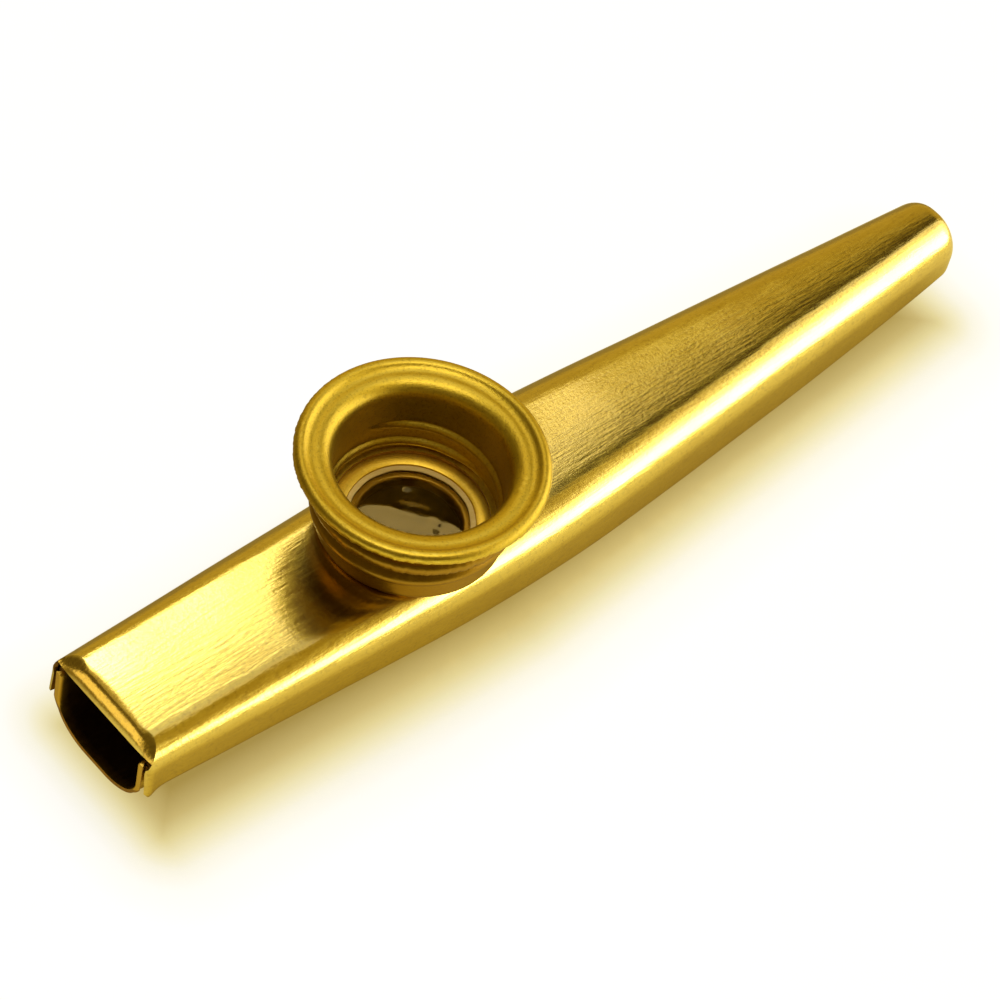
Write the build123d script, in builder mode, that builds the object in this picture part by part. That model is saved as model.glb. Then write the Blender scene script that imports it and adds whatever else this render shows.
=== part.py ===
from build123d import *
import os

# A pressed sheet-metal kazoo. X runs from the mouth end to the tail end, Z is up.
# The origin is on the surface it rests on, under the middle of its length.

# Body, outside sizes
body_length = 120.0
body_height = 15.65
mouth_width = 15.7
widest_width = 19.8
tail_width = 8.5
widest_from_mouth = 51.0
taper_blend = 15.0
mouth_depth = 10.3
tail_depth = 10.4

# Sheet metal of the two shells, and the play between folded layers
sheet = 0.4
seam_play = 0.05

# Rounding between the flat top and the sides
mouth_shoulder = 2.9
widest_shoulder = 4.7
tail_shoulder = 4.2
tail_top_flat = 0.7

# Lower edge of the folded side seam, measured down from the flat top
mouth_seam_drop = 6.5
tail_seam_drop = 6.5
seam_bow = 2.7
seam_bow_from_mouth = 74.0
mouth_seam_hook = 4.2
tail_seam_hook = 2.9

# Belly: how far its curve would pass below the resting face, and its flat run across
belly_from_mouth = 51.0
belly_press = 0.28
mouth_floor_flat = 3.0
belly_floor_flat = 4.0
tail_floor_flat = 0.8

# Turned-down lip along the top of the mouth
lip_radius = 1.9
lip_setback = 0.4

# Turret: the threaded collar that is riveted into the flat top
turret_from_mouth = 39.9
collar_sheet = 0.4
collar_inset = 0.3
collar_height = 7.2
collar_bend = 0.7
collar_floor = 4.1
collar_rim_radius = 0.9
collar_rim_turn = 210.0
collar_ridge_below_rim = 2.8
collar_ridge_half = 1.15
collar_ridge_depth = 0.8
rivet_flange = 0.7
rivet_play = 0.05

# Vibrating membrane: a clear film under a flat ring and a metal washer
film_thickness = 0.1
ring_thickness = 0.2
ring_width = 2.9
washer_thickness = 0.2
washer_width = 2.35
membrane_play = 0.03
membrane_side_play = 0.4

# Screw cap that clamps the membrane
cap_sheet = 0.4
cap_play = 0.1
cap_stand = 4.0
cap_flange = 1.14
cap_corner = 0.5
thread_pitch = 2.6
thread_depth = 0.5
thread_half = 0.6
throat_roll = 1.7
rim_dip_angle = 8.0
rim_valley_radius = 1.25
rim_rise_angle = 40.0
rim_bead_radius = 0.75
rim_bead_turn = 160.0

# Places worked out from the sizes above
mouth_x = -body_length / 2
top = body_height
seam_roll = (3 * sheet + 2 * seam_play) / 2
turret_x = mouth_x + turret_from_mouth
collar_inside = widest_width / 2 - collar_inset
rivet_inside = collar_inside - collar_floor
rivet_outside = rivet_inside + collar_sheet
membrane_radius = collar_inside - membrane_side_play
film_base = collar_sheet + membrane_play
ring_base = film_base + film_thickness + membrane_play
washer_base = ring_base + ring_thickness + membrane_play
cap_base = washer_base + washer_thickness + membrane_play
station_count = 11
stations = [body_length * number / (station_count - 1) for number in range(station_count)]


def along(distance, at_mouth, at_widest, at_tail):
    """Two straight tapers that meet at the widest place, rounded into each other there."""
    front_slope = (at_widest - at_mouth) / widest_from_mouth
    rear_slope = (at_tail - at_widest) / (body_length - widest_from_mouth)
    offset_from_corner = distance - widest_from_mouth
    if offset_from_corner < -taper_blend:
        return at_widest + front_slope * offset_from_corner
    if offset_from_corner > taper_blend:
        return at_widest + rear_slope * offset_from_corner
    turn = (rear_slope - front_slope) * (offset_from_corner + taper_blend) ** 2 / (4 * taper_blend)
    return at_widest + front_slope * offset_from_corner + turn


def bump(distance, peak, fullness):
    """A smooth hump along the body: 0 at both ends and 1 at the peak."""
    share = distance / body_length
    peak_share = peak / body_length
    rise = (share / peak_share) ** (fullness * peak_share)
    fall = ((1 - share) / (1 - peak_share)) ** (fullness * (1 - peak_share))
    return rise * fall


def between_ends(distance, at_mouth, at_tail):
    return at_mouth + (at_tail - at_mouth) * distance / body_length


def half_width(distance):
    return along(distance, mouth_width, widest_width, tail_width) / 2


def seam_z(distance):
    drop = between_ends(distance, mouth_seam_drop, tail_seam_drop)
    return top - drop - seam_bow * bump(distance, seam_bow_from_mouth, 1.9)


def belly_z(distance):
    ends = between_ends(distance, mouth_depth, tail_depth)
    ends_at_belly = between_ends(belly_from_mouth, mouth_depth, tail_depth)
    swell = body_height + belly_press - ends_at_belly
    return top - ends - swell * bump(distance, belly_from_mouth, 2.4)


def seam_hook(distance):
    return between_ends(distance, mouth_seam_hook, tail_seam_hook)


def shoulder_reach(distance):
    tail_reach = (tail_width - tail_top_flat) / 2
    return along(distance, mouth_shoulder, widest_shoulder, tail_reach)


def shoulder_drop(distance):
    straight_wall_top = top - seam_z(distance) - seam_hook(distance) + seam_roll
    return min(along(distance, mouth_shoulder, widest_shoulder, tail_shoulder), straight_wall_top)


def plate_underside(distance, across):
    """Height of the inside of the top sheet, from the flat top, at a distance across."""
    reach = shoulder_reach(distance)
    drop = shoulder_drop(distance)
    share = max(across - half_width(distance) + reach, 0) / (reach - sheet)
    return (drop - sheet) * (1 - share**2) ** 0.5 - drop


def floor_half(distance):
    return along(distance, mouth_floor_flat, belly_floor_flat, tail_floor_flat) / 2


def section_plane(distance):
    return Plane.YZ.offset(mouth_x + distance)


os.makedirs("parts", exist_ok=True)

mouth_plane = Plane(origin=(mouth_x, 0, top), x_dir=(1, 0, 0), z_dir=(0, -1, 0))
turret_plane = Plane(origin=(turret_x, 0, top), x_dir=(1, 0, 0), z_dir=(0, -1, 0))
turret_axis = Axis((turret_x, 0, top), (0, 0, 1))
lip_run = lip_setback + lip_radius

# Turned-down lip, trimmed to the middle of the shoulder sheet
with BuildPart() as mouth_lip:
    with BuildSketch(mouth_plane):
        with BuildLine():
            CenterArc((lip_run, -lip_radius), lip_radius, 90, 90)
            Line((lip_setback, -lip_radius), (lip_setback + sheet, -lip_radius))
            CenterArc((lip_run, -lip_radius), lip_radius - sheet, 90, 90)
            Line((lip_run, -sheet), (lip_run, 0))
        make_face()
    extrude(amount=mouth_width / 2, both=True)
    with BuildSketch(section_plane(0)):
        lip_corner = mouth_width / 2 - mouth_shoulder
        lip_bend = mouth_shoulder - sheet / 2
        with BuildLine():
            Line((0, top), (lip_corner, top))
            Line((lip_corner, top), (lip_corner, top - sheet / 2))
            CenterArc((lip_corner, top - mouth_shoulder), lip_bend, 0, 90)
            Line((lip_corner + lip_bend, top - mouth_shoulder), (0, top - mouth_shoulder))
            mirror(about=Plane.YZ)
        make_face()
    extrude(amount=lip_run, mode=Mode.INTERSECT)

# Upper shell: flat top, rounded shoulders, hooked side walls and the lip
with BuildPart() as upper_shell:
    for station in stations:
        side = half_width(station)
        seam = seam_z(station)
        reach = shoulder_reach(station)
        drop = shoulder_drop(station)
        roll_z = seam + seam_roll
        roll_y = side - seam_roll
        hook_inside = side - 2 * seam_roll
        hook_end = seam + seam_hook(station) - seam_roll - seam_play
        with BuildSketch(section_plane(station)):
            with BuildLine():
                Line((0, top), (side - reach, top))
                EllipticalCenterArc((side - reach, top - drop), reach, drop, start_angle=0, arc_size=90)
                Line((side, top - drop), (side, roll_z))
                CenterArc((roll_y, roll_z), seam_roll, 180, 180)
                Line((hook_inside, roll_z), (hook_inside, hook_end))
                Line((hook_inside, hook_end), (hook_inside + sheet, hook_end))
                Line((hook_inside + sheet, hook_end), (hook_inside + sheet, roll_z))
                CenterArc((roll_y, roll_z), seam_roll - sheet, 180, 180)
                Line((side - sheet, roll_z), (side - sheet, top - drop))
                EllipticalCenterArc((side - reach, top - drop), reach - sheet, drop - sheet, start_angle=0, arc_size=90)
                Line((side - reach, top - sheet), (0, top - sheet))
                mirror(about=Plane.YZ)
            make_face()
    loft()
    with BuildSketch(mouth_plane):
        with BuildLine():
            CenterArc((lip_run, -lip_radius), lip_radius, 90, 90)
            Polyline(
                (lip_setback, -lip_radius),
                (-lip_radius, -lip_radius),
                (-lip_radius, lip_radius),
                (lip_run, lip_radius),
                (lip_run, 0),
            )
        make_face()
    extrude(amount=mouth_width, both=True, mode=Mode.SUBTRACT)
    add(mouth_lip.part)
    with BuildSketch(Plane.XY.offset(top - lip_radius)):
        with Locations((turret_x, 0)):
            Circle(rivet_outside + rivet_play)
    extrude(amount=2 * lip_radius, mode=Mode.SUBTRACT)
upper_shell.part.label = "upper_shell"
export_step(upper_shell.part, "parts/upper_shell.step")

# Pressed flat strip under the belly, on which the body rests
with BuildPart() as belly_strip:
    for station in stations:
        side = half_width(station)
        seam = seam_z(station)
        belly = belly_z(station) + sheet / 2
        flat = floor_half(station)
        wall = side - 2 * seam_roll - seam_play - sheet / 2
        with BuildSketch(section_plane(station)):
            with BuildLine():
                Line((0, belly), (flat, belly))
                EllipticalCenterArc((flat, seam), wall - flat, seam - belly, start_angle=270, arc_size=90)
                Line((wall, seam), (0, seam))
                mirror(about=Plane.YZ)
            make_face()
    loft()
    with BuildSketch(Plane.XY):
        Rectangle(body_length, widest_width)
    extrude(amount=sheet, mode=Mode.INTERSECT)

# Lower shell: pressed trough with its resting strip
with BuildPart() as lower_shell:
    for station in stations:
        side = half_width(station)
        seam = seam_z(station)
        belly = belly_z(station)
        flat = floor_half(station)
        wall = side - 2 * seam_roll - seam_play
        fold_y = side - sheet - seam_play - seam_roll
        fold_z = seam + seam_hook(station) - seam_roll
        hook_outside = fold_y + seam_roll
        hook_end = seam + seam_roll + seam_play
        inner_depth = seam - belly - sheet
        with BuildSketch(section_plane(station)):
            with BuildLine():
                Line((0, belly), (flat, belly))
                EllipticalCenterArc((flat, seam), wall - flat, seam - belly, start_angle=270, arc_size=90)
                Line((wall, seam), (wall, fold_z))
                CenterArc((fold_y, fold_z), seam_roll - sheet, 0, 180)
                Line((hook_outside - sheet, fold_z), (hook_outside - sheet, hook_end))
                Line((hook_outside - sheet, hook_end), (hook_outside, hook_end))
                Line((hook_outside, hook_end), (hook_outside, fold_z))
                CenterArc((fold_y, fold_z), seam_roll, 0, 180)
                Line((wall - sheet, fold_z), (wall - sheet, seam))
                EllipticalCenterArc((flat, seam), wall - sheet - flat, inner_depth, start_angle=270, arc_size=90)
                Line((flat, belly + sheet), (0, belly + sheet))
                mirror(about=Plane.YZ)
            make_face()
    loft()
    split(bisect_by=Plane.XY, keep=Keep.TOP)
    add(belly_strip.part)
lower_shell.part.label = "lower_shell"
export_step(lower_shell.part, "parts/lower_shell.step")

# Turret collar: rolled rim, thread ridge, floor and rivet flange in one bent sheet
with BuildPart() as turret_collar:
    outside = collar_inside + collar_sheet
    rim_z = collar_height - collar_rim_radius
    ridge_middle = rim_z - collar_ridge_below_rim
    ridge_low = ridge_middle - collar_ridge_half
    ridge_high = ridge_middle + collar_ridge_half
    rim_y = collar_inside + collar_rim_radius
    rim_edge = Vector(1, 0).rotate(Axis.Z, 180 - collar_rim_turn)
    flange_edge = rivet_outside + rivet_flange
    flange_top = plate_underside(turret_from_mouth, flange_edge) - rivet_play
    bend_y = outside - collar_bend
    with BuildSketch(turret_plane):
        with BuildLine():
            Line((rivet_inside, collar_sheet), (bend_y, collar_sheet))
            CenterArc((bend_y, collar_bend), collar_bend - collar_sheet, 270, 90)
            Line((collar_inside, collar_bend), (collar_inside, ridge_low))
            ThreePointArc(
                (collar_inside, ridge_low),
                (collar_inside + collar_ridge_depth, ridge_middle),
                (collar_inside, ridge_high),
            )
            Line((collar_inside, ridge_high), (collar_inside, rim_z))
            CenterArc((rim_y, rim_z), collar_rim_radius, 180, -collar_rim_turn)
            Line(
                Vector(rim_y, rim_z) + rim_edge * collar_rim_radius,
                Vector(rim_y, rim_z) + rim_edge * (collar_rim_radius - collar_sheet),
            )
            CenterArc((rim_y, rim_z), collar_rim_radius - collar_sheet, 180, -collar_rim_turn)
            Line((outside, rim_z), (outside, ridge_high))
            ThreePointArc(
                (outside, ridge_high),
                (outside + collar_ridge_depth, ridge_middle),
                (outside, ridge_low),
            )
            Line((outside, ridge_low), (outside, collar_bend))
            CenterArc((bend_y, collar_bend), collar_bend, 270, 90)
            Polyline(
                (bend_y, 0),
                (rivet_outside, 0),
                (rivet_outside, flange_top),
                (flange_edge, flange_top),
                (flange_edge, flange_top - collar_sheet),
                (rivet_inside, flange_top - collar_sheet),
                (rivet_inside, collar_sheet),
            )
        make_face()
    revolve(axis=turret_axis)
turret_collar.part.label = "turret_collar"
export_step(turret_collar.part, "parts/turret_collar.step")

# Clear film that lies on the floor of the collar
with BuildPart() as membrane_film:
    with BuildSketch(Plane.XY.offset(top + film_base)):
        with Locations((turret_x, 0)):
            Circle(membrane_radius)
    extrude(amount=film_thickness)
membrane_film.part.label = "membrane_film"
export_step(membrane_film.part, "parts/membrane_film.step")

# Flat ring that holds the film down
with BuildPart() as membrane_ring:
    with BuildSketch(Plane.XY.offset(top + ring_base)):
        with Locations((turret_x, 0)):
            Circle(membrane_radius)
            Circle(membrane_radius - ring_width, mode=Mode.SUBTRACT)
    extrude(amount=ring_thickness)
membrane_ring.part.label = "membrane_ring"
export_step(membrane_ring.part, "parts/membrane_ring.step")

# Metal washer between the ring and the bottom of the cap
with BuildPart() as retaining_washer:
    with BuildSketch(Plane.XY.offset(top + washer_base)):
        with Locations((turret_x, 0)):
            Circle(membrane_radius)
            Circle(membrane_radius - washer_width, mode=Mode.SUBTRACT)
    extrude(amount=washer_thickness)
retaining_washer.part.label = "retaining_washer"
export_step(retaining_washer.part, "parts/retaining_washer.step")

# Screw cap: pierced bottom, threaded wall, flared throat and rolled rim in one bent sheet
with BuildPart() as screw_cap:
    wall_out = collar_inside - cap_play
    wall_in = wall_out - cap_sheet
    hole = wall_out - cap_flange
    corner_y = wall_out - cap_corner
    corner_z = cap_base + cap_corner
    thread_centres = [corner_z + thread_half, corner_z + thread_half + thread_pitch]
    thread_low_top = corner_z + 2 * thread_half
    thread_high_base = corner_z + thread_pitch
    thread_top = thread_high_base + 2 * thread_half
    bead_start = 90 + rim_rise_angle
    valley_turn = rim_dip_angle + rim_rise_angle
    dip = Vector(0, 1).rotate(Axis.Z, -rim_dip_angle)
    rise = Vector(0, 1).rotate(Axis.Z, rim_rise_angle)
    bead_edge = Vector(1, 0).rotate(Axis.Z, bead_start - rim_bead_turn)
    bead_z = collar_height + cap_stand - rim_bead_radius
    valley_z = bead_z + (rim_bead_radius + rim_valley_radius) * rise.Y
    throat_z = valley_z - (rim_valley_radius + throat_roll) * dip.Y
    roll_y = wall_in + throat_roll
    valley_y = roll_y + (rim_valley_radius + throat_roll) * dip.X
    bead_y = valley_y - (rim_bead_radius + rim_valley_radius) * rise.X
    with BuildSketch(turret_plane):
        with BuildLine():
            Polyline(
                (corner_y, cap_base),
                (hole, cap_base),
                (hole, cap_base + cap_sheet),
                (corner_y, cap_base + cap_sheet),
            )
            CenterArc((corner_y, corner_z), cap_corner - cap_sheet, 270, 90)
            for centre in thread_centres:
                ThreePointArc(
                    (wall_in, centre - thread_half),
                    (wall_in - thread_depth, centre),
                    (wall_in, centre + thread_half),
                )
            Line((wall_in, thread_low_top), (wall_in, thread_high_base))
            Line((wall_in, thread_top), (wall_in, throat_z))
            CenterArc((roll_y, throat_z), throat_roll, 180, -90 - rim_dip_angle)
            CenterArc((valley_y, valley_z), rim_valley_radius, 270 - rim_dip_angle, valley_turn)
            CenterArc((bead_y, bead_z), rim_bead_radius, bead_start, -rim_bead_turn)
            Line(
                Vector(bead_y, bead_z) + bead_edge * rim_bead_radius,
                Vector(bead_y, bead_z) + bead_edge * (rim_bead_radius - cap_sheet),
            )
            CenterArc((bead_y, bead_z), rim_bead_radius - cap_sheet, bead_start, -rim_bead_turn)
            CenterArc((valley_y, valley_z), rim_valley_radius + cap_sheet, 270 - rim_dip_angle, valley_turn)
            CenterArc((roll_y, throat_z), throat_roll - cap_sheet, 180, -90 - rim_dip_angle)
            Line((wall_out, throat_z), (wall_out, thread_top))
            for centre in thread_centres:
                ThreePointArc(
                    (wall_out, centre - thread_half),
                    (wall_out - thread_depth, centre),
                    (wall_out, centre + thread_half),
                )
            Line((wall_out, thread_low_top), (wall_out, thread_high_base))
            CenterArc((corner_y, corner_z), cap_corner, 270, 90)
        make_face()
    revolve(axis=turret_axis)
screw_cap.part.label = "screw_cap"
export_step(screw_cap.part, "parts/screw_cap.step")
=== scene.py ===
import math

import bmesh
import bpy
from mathutils import Matrix, Vector, noise


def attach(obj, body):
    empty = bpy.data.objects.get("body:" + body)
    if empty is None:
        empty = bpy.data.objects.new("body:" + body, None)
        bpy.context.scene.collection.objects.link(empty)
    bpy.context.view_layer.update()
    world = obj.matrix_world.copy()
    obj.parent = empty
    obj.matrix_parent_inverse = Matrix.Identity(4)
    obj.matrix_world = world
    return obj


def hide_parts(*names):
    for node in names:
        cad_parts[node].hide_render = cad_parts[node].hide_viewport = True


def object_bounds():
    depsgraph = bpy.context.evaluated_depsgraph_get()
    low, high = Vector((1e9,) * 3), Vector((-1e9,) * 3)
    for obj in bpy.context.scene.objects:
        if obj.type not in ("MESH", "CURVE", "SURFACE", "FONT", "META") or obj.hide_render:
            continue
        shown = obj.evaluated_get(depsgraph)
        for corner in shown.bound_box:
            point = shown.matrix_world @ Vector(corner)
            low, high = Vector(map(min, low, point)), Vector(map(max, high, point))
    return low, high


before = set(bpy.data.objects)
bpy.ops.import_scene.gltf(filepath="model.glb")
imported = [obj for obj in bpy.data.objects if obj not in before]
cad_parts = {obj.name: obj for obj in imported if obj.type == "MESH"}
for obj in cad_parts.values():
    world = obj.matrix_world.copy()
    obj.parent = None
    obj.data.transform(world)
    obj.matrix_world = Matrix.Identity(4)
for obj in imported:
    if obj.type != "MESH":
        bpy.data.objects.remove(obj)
cad_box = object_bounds()

MM = 0.001

# Body sizes in millimetres, as in the CAD source
BODY_LENGTH = 120.0
TOP = 15.65
MOUTH_WIDTH = 15.7
WIDEST_WIDTH = 19.8
TAIL_WIDTH = 8.5
WIDEST_FROM_MOUTH = 51.0
TAPER_BLEND = 15.0
MOUTH_DEPTH = 10.3
TAIL_DEPTH = 10.4
SHEET = 0.4
SEAM_PLAY = 0.05
MOUTH_SHOULDER = 2.9
WIDEST_SHOULDER = 4.7
TAIL_SHOULDER = 4.2
TAIL_TOP_FLAT = 0.7
SEAM_DROP = 6.5
SEAM_BOW = 2.7
SEAM_BOW_FROM_MOUTH = 74.0
SEAM_FULLNESS = 1.9
MOUTH_SEAM_HOOK = 4.2
TAIL_SEAM_HOOK = 2.9
BELLY_FROM_MOUTH = 51.0
BELLY_FULLNESS = 2.4
BELLY_PRESS = 0.28
MOUTH_FLOOR_FLAT = 3.0
BELLY_FLOOR_FLAT = 4.0
TAIL_FLOOR_FLAT = 0.8
LIP_RADIUS = 1.9
LIP_SETBACK = 0.4
PLATE_HOLE = 5.95
MOUTH_X = -BODY_LENGTH / 2
SEAM_ROLL = (3 * SHEET + 2 * SEAM_PLAY) / 2

# Finish of the body that only the scene has, in millimetres
TOP_CROWN = 0.025
LIP_END = 0.6
LIP_CORNER_POWER = 0.7
LIP_CORNER_FROM = 0.65
MOUTH_EDGE = 0.7
MOUTH_FLARE = 2.6
FLARE_BELOW_TOP = 1.2
WALL_SPREAD = 0.5
WALL_LOWERED = 0.7
TAB_TURN = 0.5
SEAM_SETBACK = 0.7
TAIL_ROUNDING = 1.6
TAIL_DRAW = 0.9
UNEVENNESS = 0.05
UNEVEN_SCALE = 0.11
UNEVEN_SIDEWAYS = 0.3
EVEN_END = 4.0
REST_STRIP = 0.02
BODY_EDGE = 0.09
LOWER_EDGE = 0.08
TURNED_EDGE = 0.07
EDGE_ANGLE = math.radians(50)

# Turret and cap sizes, heights measured up from the flat top
TURRET_X = MOUTH_X + 39.9
COLLAR_BORE = 9.6
COLLAR_HEIGHT = 7.2
COLLAR_BEND = 0.7
COLLAR_RIM = 0.9
COLLAR_RIM_TURN = 210.0
COLLAR_RIDGE_Z = 3.5
COLLAR_RIDGE_HALF = 1.15
COLLAR_RIDGE_DEPTH = 0.8
COLLAR_RIDGE_TURNS = 1.05
RIVET_BORE = 5.5
RIVET_FLANGE = 6.6
RIVET_FLANGE_Z = -1.0
RIVET_FOOT_BEND = 0.2
RIVET_TOP_BEND = 0.15
MEMBRANE_RADIUS = 9.2
FILM_Z = (0.43, 0.53)
RING_Z = (0.56, 0.76)
RING_BORE = 6.3
WASHER_Z = (0.79, 0.99)
WASHER_BORE = 6.85
RING_EDGE = 0.06
CAP_BASE = 1.02
CAP_STAND = 4.0
CAP_HOLE = 8.36
CAP_CORNER = 0.5
CAP_WALL_OUT = 9.5
THREAD_PITCH = 2.6
THREAD_DEPTH = 0.5
THREAD_HALF = 0.6
THREAD_TURNS = 1.25
THREAD_FADE = 0.08
THREAD_PHASE = math.radians(-142)
THROAT_ROLL = 1.7
RIM_DIP = 8.0
RIM_VALLEY = 1.25
RIM_RISE = 40.0
RIM_BEAD = 0.75
RIM_BEAD_TURN = 160.0

# Folds of the film: depth, direction across the fold, distance from the axis, half width
FILM_FOLDS = [(0.035, (0.79, 0.61), 0.7, 1.1), (0.025, (0.45, -0.89), 2.6, 0.9)]
FILM_CREASE = 0.02
FILM_FREE_RADIUS = RIVET_BORE - 0.2
BLISTER_PLACE = (2.6, 3.5)
BLISTER_RADIUS = 0.9
BLISTER_HEIGHT = 0.12

# Mesh steps
STATIONS = 130
END_STEPS = [0, 0.04, 0.1, 0.18, 0.28, 0.4, 0.54, 0.7, 0.9, 1.2, 1.6, 2.2, 3.0]
FLAT_STEPS = 10
SHOULDER_STEPS = 18
WALL_STEPS = 8
ROLL_STEPS = 12
HOOK_STEPS = 3
FLOOR_STEPS = 6
TROUGH_STEPS = 24
INNER_WALL_STEPS = 4
FOLD_STEPS = 10
UPPER_ROLL_ROW = FLAT_STEPS + SHOULDER_STEPS + WALL_STEPS
SETBACK_ROWS = 5
TAB_FIRST_ROW = 24
TAB_ROWS = 6
TAB_LAST_ROW = 36
TURN_STEPS = 360
COLLAR_WALL_STEPS = 40
CAP_WALL_STEPS = 56
FILM_RINGS = 40
FILM_SPOKES = 120


# Curves of the body
def along(d, at_mouth, at_widest, at_tail):
    """Two straight tapers that meet at the widest place, rounded into each other there."""
    front = (at_widest - at_mouth) / WIDEST_FROM_MOUTH
    rear = (at_tail - at_widest) / (BODY_LENGTH - WIDEST_FROM_MOUTH)
    u = d - WIDEST_FROM_MOUTH
    if u < -TAPER_BLEND:
        return at_widest + front * u
    if u > TAPER_BLEND:
        return at_widest + rear * u
    return at_widest + front * u + (rear - front) * (u + TAPER_BLEND) ** 2 / (4 * TAPER_BLEND)


def swell(d, peak, fullness):
    """A smooth hump along the body: 0 at both ends and 1 at the peak."""
    s = min(max(d / BODY_LENGTH, 0.0), 1.0)
    p = peak / BODY_LENGTH
    return (s / p) ** (fullness * p) * ((1 - s) / (1 - p)) ** (fullness * (1 - p))


def half_width(d):
    return along(d, MOUTH_WIDTH, WIDEST_WIDTH, TAIL_WIDTH) / 2


def seam_z(d):
    return TOP - SEAM_DROP - SEAM_BOW * swell(d, SEAM_BOW_FROM_MOUTH, SEAM_FULLNESS)


def seam_hook(d):
    return MOUTH_SEAM_HOOK + (TAIL_SEAM_HOOK - MOUTH_SEAM_HOOK) * d / BODY_LENGTH


def belly_z(d):
    ends = MOUTH_DEPTH + (TAIL_DEPTH - MOUTH_DEPTH) * d / BODY_LENGTH
    ends_at_belly = MOUTH_DEPTH + (TAIL_DEPTH - MOUTH_DEPTH) * BELLY_FROM_MOUTH / BODY_LENGTH
    return TOP - ends - (TOP + BELLY_PRESS - ends_at_belly) * swell(d, BELLY_FROM_MOUTH, BELLY_FULLNESS)


def shoulder(d):
    """How far the rounding between top and side reaches across, and down."""
    reach = along(d, MOUTH_SHOULDER, WIDEST_SHOULDER, (TAIL_WIDTH - TAIL_TOP_FLAT) / 2)
    straight_wall_top = TOP - seam_z(d) - seam_hook(d) + SEAM_ROLL
    drop = min(along(d, MOUTH_SHOULDER, WIDEST_SHOULDER, TAIL_SHOULDER), straight_wall_top)
    return reach, drop


def floor_half(d):
    return along(d, MOUTH_FLOOR_FLAT, BELLY_FLOOR_FLAT, TAIL_FLOOR_FLAT) / 2


def line(a, b, steps):
    """Points from a to b, without the last one."""
    return [(a[0] + (b[0] - a[0]) * i / steps, a[1] + (b[1] - a[1]) * i / steps) for i in range(steps)]


def arc(centre, ry, rz, start, sweep, steps):
    """Points on an elliptical arc, without the last one. Angles in degrees."""
    points = []
    for i in range(steps):
        a = math.radians(start + sweep * i / steps)
        points.append((centre[0] + ry * math.cos(a), centre[1] + rz * math.sin(a)))
    return points


# Pieces, in groups that a lamp can be meant for
pieces = bpy.data.collections.new("pieces")
shells = bpy.data.collections.new("shells")
turret = bpy.data.collections.new("turret")
membrane = bpy.data.collections.new("membrane")


def new_object(name, bm, body, slot, node, *materials):
    """A finished mesh as a piece that stands for one CAD node."""
    mesh = bpy.data.meshes.new(name)
    bm.to_mesh(mesh)
    bm.free()
    for polygon in mesh.polygons:
        polygon.use_smooth = True
    for material in materials:
        mesh.materials.append(material)
    obj = bpy.data.objects.new(name, mesh)
    bpy.context.scene.collection.objects.link(obj)
    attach(obj, body)
    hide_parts(node)
    pieces.objects.link(obj)
    if node.endswith("shell"):
        shells.objects.link(obj)
    elif body == "membrane":
        membrane.objects.link(obj)
    else:
        turret.objects.link(obj)
    return obj


def thicken(obj, offset, edge):
    """Gives a skin the thickness of the sheet, softens its cut edges and keeps it inside the CAD box.

    The skin has the first material of the piece, its other side the second and its cut edge the third.
    """
    solid = obj.modifiers.new("sheet", "SOLIDIFY")
    solid.thickness = SHEET * MM
    solid.offset = offset
    solid.use_even_offset = True
    solid.use_quality_normals = True
    solid.material_offset = 1
    solid.material_offset_rim = 2
    bevel = obj.modifiers.new("edge", "BEVEL")
    bevel.width = edge * MM
    bevel.segments = 2
    bevel.limit_method = "ANGLE"
    bevel.angle_limit = EDGE_ANGLE
    bevel.harden_normals = True
    depsgraph = bpy.context.evaluated_depsgraph_get()
    mesh = bpy.data.meshes.new_from_object(
        obj.evaluated_get(depsgraph), preserve_all_data_layers=True, depsgraph=depsgraph)
    low, high = cad_box
    for vertex in mesh.vertices:
        vertex.co = [min(max(vertex.co[i], low[i]), high[i]) for i in range(3)]
    obj.modifiers.clear()
    obj.data = mesh


def face_outward(bm, upward):
    """Turns the faces of a shell so that the middle of its skin faces up or down."""
    bmesh.ops.recalc_face_normals(bm, faces=bm.faces)
    middle = [f for f in bm.faces if abs(f.calc_center_median().y) < 2 * MM and abs(f.normal.z) > 0.7]
    facing_up = sum(f.normal.z * f.calc_area() for f in middle) > 0
    if facing_up != upward:
        bmesh.ops.reverse_faces(bm, faces=bm.faces)


# Material helpers
def new_material(name):
    material = bpy.data.materials.new(name)
    material.use_nodes = True
    tree = material.node_tree
    return material, tree, tree.nodes["Principled BSDF"]


def link(tree, source, target):
    tree.links.new(source, target)


def vector_node(tree, operation, a, b=None):
    node = tree.nodes.new("ShaderNodeVectorMath")
    node.operation = operation
    link(tree, a, node.inputs[0])
    if isinstance(b, tuple):
        node.inputs[1].default_value = b
    elif b is not None:
        link(tree, b, node.inputs[1])
    return node.outputs["Value"] if operation == "LENGTH" else node.outputs["Vector"]


def math_node(tree, operation, a, b=0.0):
    node = tree.nodes.new("ShaderNodeMath")
    node.operation = operation
    for i, value in enumerate((a, b)):
        if isinstance(value, (int, float)):
            node.inputs[i].default_value = value
        else:
            link(tree, value, node.inputs[i])
    return node.outputs[0]


def object_coords(tree):
    return tree.nodes.new("ShaderNodeTexCoord").outputs["Object"]


def axes(tree, vector):
    """X, Y and Z of a vector as outputs of their own."""
    split = tree.nodes.new("ShaderNodeSeparateXYZ")
    link(tree, vector, split.inputs[0])
    return split.outputs


def straight_grain(tree, turn, scale):
    """Coordinates turned about Z and stretched, so that a noise runs as grain along a line."""
    rotate = tree.nodes.new("ShaderNodeVectorRotate")
    rotate.rotation_type = "Z_AXIS"
    rotate.inputs["Angle"].default_value = math.radians(turn)
    link(tree, object_coords(tree), rotate.inputs["Vector"])
    return vector_node(tree, "MULTIPLY", rotate.outputs["Vector"], scale)


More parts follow.
